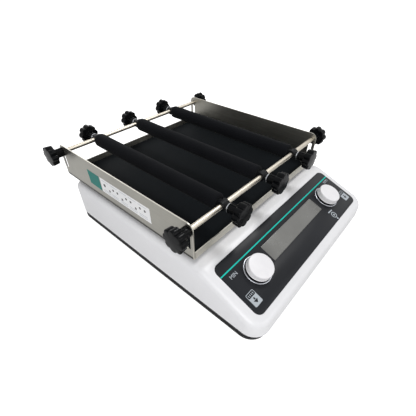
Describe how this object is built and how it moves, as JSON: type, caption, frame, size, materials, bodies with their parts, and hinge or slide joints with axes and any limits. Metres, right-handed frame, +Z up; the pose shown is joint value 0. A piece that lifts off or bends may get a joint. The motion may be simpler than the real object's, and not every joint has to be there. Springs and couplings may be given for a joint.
{
  "type": "laboratory shaker",
  "caption": "Bench orbital shaker: a steel tray with slotted walls, two rods and padded clamping bars held by star knobs, on a low housing with a sloping dial panel.",
  "frame": {"origin": "on the bench plane, under the middle of the object's bounding box at rest", "axes": "+X to the right of a user at the front, +Y to the rear, +Z up; the control panel is at -Y"},
  "size_m": [0.4026, 0.4828, 0.1653],
  "materials": {
    "base_plastic": "moulded black",
    "white_paint": "smooth white coat",
    "foot_rubber": "matte",
    "zinc_screw": "plated",
    "panel_film": "fine matte overlay",
    "window": "clear window over a grey display",
    "silver_ring": "bright turned",
    "board": "green circuit board",
    "part_plastic": "black",
    "motor_case": "plain motor case",
    "belt": "ribbed",
    "cast_block": "as cast",
    "bearing": "ground",
    "machined": "turned steel",
    "counterweight": "as cast",
    "stainless": "fine brushed stainless sheet",
    "mat": "ribbed matte",
    "rod": "polished",
    "knob": "moulded black",
    "clamp": "moulded black",
    "foam": "closed cell foam",
    "washer": "plated",
    "dial": "white, satin",
    "rotor": "plain"
  },
  "bodies": {
    "base": {"base_plate": "base_plastic", "housing": "white_paint", "rubber_feet": "foot_rubber", "housing_screws": "zinc_screw", "control_panel": "panel_film", "display_window": "window", "dial_rings": "silver_ring", "display_board": "board", "dial_encoders": "part_plastic", "motor": "motor_case", "drive_belt": "belt", "bearing_block": "cast_block", "shaft_bearings": "bearing", "guide_blocks": "cast_block", "power_supply": "board", "power_inlet": "part_plastic", "switch_frame": "part_plastic"},
    "rocker": {"power_rocker": "part_plastic"},
    "motor_pulley": {"motor_pulley": "machined"},
    "crank": {"main_crank": "machined", "counterweight": "counterweight"},
    "guide_front": {"guide_crank_front": "machined"},
    "guide_left": {"guide_crank_left": "machined"},
    "guide_right": {"guide_crank_right": "machined"},
    "platform": {"carrier": "cast_block", "carrier_bearings": "bearing", "support_posts": "machined", "tray": "stainless", "tray_mat": "mat", "tray_screws": "zinc_screw"},
    "rods": {"front_rod": "rod", "rear_rod": "rod"},
    "knob_front_left": {"rod_knob_front_left": "knob"},
    "knob_front_right": {"rod_knob_front_right": "knob"},
    "knob_rear_left": {"rod_knob_rear_left": "knob"},
    "knob_rear_right": {"rod_knob_rear_right": "knob"},
    "bar_1": {"bar_1_core": "rod", "bar_1_foam": "foam", "bar_1_clamps": "clamp", "bar_1_washers": "washer"},
    "bar_1_front_knob": {"bar_1_knob_front": "knob"},
    "bar_1_rear_knob": {"bar_1_knob_rear": "knob"},
    "bar_2": {"bar_2_core": "rod", "bar_2_foam": "foam", "bar_2_clamps": "clamp", "bar_2_washers": "washer"},
    "bar_2_front_knob": {"bar_2_knob_front": "knob"},
    "bar_2_rear_knob": {"bar_2_knob_rear": "knob"},
    "bar_3": {"bar_3_core": "rod", "bar_3_foam": "foam", "bar_3_clamps": "clamp", "bar_3_washers": "washer"},
    "bar_3_front_knob": {"bar_3_knob_front": "knob"},
    "bar_3_rear_knob": {"bar_3_knob_rear": "knob"},
    "time_rotor": {"time_rotor": "rotor"},
    "time_dial": {"time_shaft": "machined", "time_dial": "dial"},
    "speed_rotor": {"speed_rotor": "rotor"},
    "speed_dial": {"speed_shaft": "machined", "speed_dial": "dial"}
  },
  "joints": [
    {"name": "crank_spin", "type": "hinge", "parent": "base", "child": "crank", "pos_m": [0.005, 0.0436, 0.05], "axis": [0, 0, 1], "continuous": true},
    {"name": "platform_orbit", "type": "hinge", "parent": "crank", "child": "platform", "pos_m": [0, 0.0436, 0.078], "axis": [0, 0, 1], "continuous": true},
    {"name": "motor_spin", "type": "hinge", "parent": "base", "child": "motor_pulley", "pos_m": [-0.095, -0.0534, 0.055], "axis": [0, 0, 1], "continuous": true},
    {"name": "guide_front_spin", "type": "hinge", "parent": "base", "child": "guide_front", "pos_m": [0.005, -0.0414, 0.05], "axis": [0, 0, 1], "continuous": true},
    {"name": "guide_left_spin", "type": "hinge", "parent": "base", "child": "guide_left", "pos_m": [-0.06861, 0.0861, 0.05], "axis": [0, 0, 1], "continuous": true},
    {"name": "guide_right_spin", "type": "hinge", "parent": "base", "child": "guide_right", "pos_m": [0.07861, 0.0861, 0.05], "axis": [0, 0, 1], "continuous": true},
    {"name": "rods_lift", "type": "slide", "parent": "platform", "child": "rods", "axis": [0, 0, 1], "range_m": [-0.028, 0.001]},
    {"name": "knob_front_left_turn", "type": "hinge", "parent": "rods", "child": "knob_front_left", "pos_m": [-0.1733, -0.1149, 0.147], "axis": [-1, 0, 0], "range_deg": [0, 540]},
    {"name": "knob_front_right_turn", "type": "hinge", "parent": "rods", "child": "knob_front_right", "pos_m": [0.1733, -0.1149, 0.147], "axis": [1, 0, 0], "range_deg": [0, 540]},
    {"name": "knob_rear_left_turn", "type": "hinge", "parent": "rods", "child": "knob_rear_left", "pos_m": [-0.1733, 0.2021, 0.147], "axis": [-1, 0, 0], "range_deg": [0, 540]},
    {"name": "knob_rear_right_turn", "type": "hinge", "parent": "rods", "child": "knob_rear_right", "pos_m": [0.1733, 0.2021, 0.147], "axis": [1, 0, 0], "range_deg": [0, 540]},
    {"name": "bar_1_slide", "type": "slide", "parent": "rods", "child": "bar_1", "axis": [1, 0, 0], "range_m": [-0.05, 0.03]},
    {"name": "bar_1_front_knob_turn", "type": "hinge", "parent": "bar_1", "child": "bar_1_front_knob", "pos_m": [-0.1015, -0.1262, 0.147], "axis": [0, -1, 0], "range_deg": [0, 540]},
    {"name": "bar_1_rear_knob_turn", "type": "hinge", "parent": "bar_1", "child": "bar_1_rear_knob", "pos_m": [-0.1015, 0.2134, 0.147], "axis": [0, 1, 0], "range_deg": [0, 540]},
    {"name": "bar_2_slide", "type": "slide", "parent": "rods", "child": "bar_2", "axis": [1, 0, 0], "range_m": [-0.028, 0.028]},
    {"name": "bar_2_front_knob_turn", "type": "hinge", "parent": "bar_2", "child": "bar_2_front_knob", "pos_m": [-0.0015, -0.1262, 0.147], "axis": [0, -1, 0], "range_deg": [0, 540]},
    {"name": "bar_2_rear_knob_turn", "type": "hinge", "parent": "bar_2", "child": "bar_2_rear_knob", "pos_m": [-0.0015, 0.2134, 0.147], "axis": [0, 1, 0], "range_deg": [0, 540]},
    {"name": "bar_3_slide", "type": "slide", "parent": "rods", "child": "bar_3", "axis": [1, 0, 0], "range_m": [-0.03, 0.05]},
    {"name": "bar_3_front_knob_turn", "type": "hinge", "parent": "bar_3", "child": "bar_3_front_knob", "pos_m": [0.097, -0.1262, 0.147], "axis": [0, -1, 0], "range_deg": [0, 540]},
    {"name": "bar_3_rear_knob_turn", "type": "hinge", "parent": "bar_3", "child": "bar_3_rear_knob", "pos_m": [0.097, 0.2134, 0.147], "axis": [0, 1, 0], "range_deg": [0, 540]},
    {"name": "time_turn", "type": "hinge", "parent": "base", "child": "time_rotor", "pos_m": [-0.11, -0.18801, 0.07182], "axis": [0, -0.3502, 0.9367], "continuous": true},
    {"name": "time_press", "type": "slide", "parent": "time_rotor", "child": "time_dial", "axis": [0, 0.3502, -0.9367], "range_m": [0, 0.0008], "stiffness_N_per_m": 2500, "springref_m": -0.0006},
    {"name": "speed_turn", "type": "hinge", "parent": "base", "child": "speed_rotor", "pos_m": [0.12, -0.18801, 0.07182], "axis": [0, -0.3502, 0.9367], "continuous": true},
    {"name": "speed_press", "type": "slide", "parent": "speed_rotor", "child": "speed_dial", "axis": [0, 0.3502, -0.9367], "range_m": [0, 0.0008], "stiffness_N_per_m": 2500, "springref_m": -0.0006},
    {"name": "rocker_tilt", "type": "hinge", "parent": "base", "child": "rocker", "pos_m": [0.067, 0.1906, 0.058], "axis": [1, 0, 0], "range_deg": [0, 14]}
  ],
  "couplings": [
    {"joint": "platform_orbit", "follows": "crank_spin", "ratio": -1},
    {"joint": "motor_spin", "follows": "crank_spin", "ratio": 3.7857},
    {"joint": "guide_front_spin", "follows": "crank_spin", "ratio": 1},
    {"joint": "guide_left_spin", "follows": "crank_spin", "ratio": 1},
    {"joint": "guide_right_spin", "follows": "crank_spin", "ratio": 1}
  ]
}
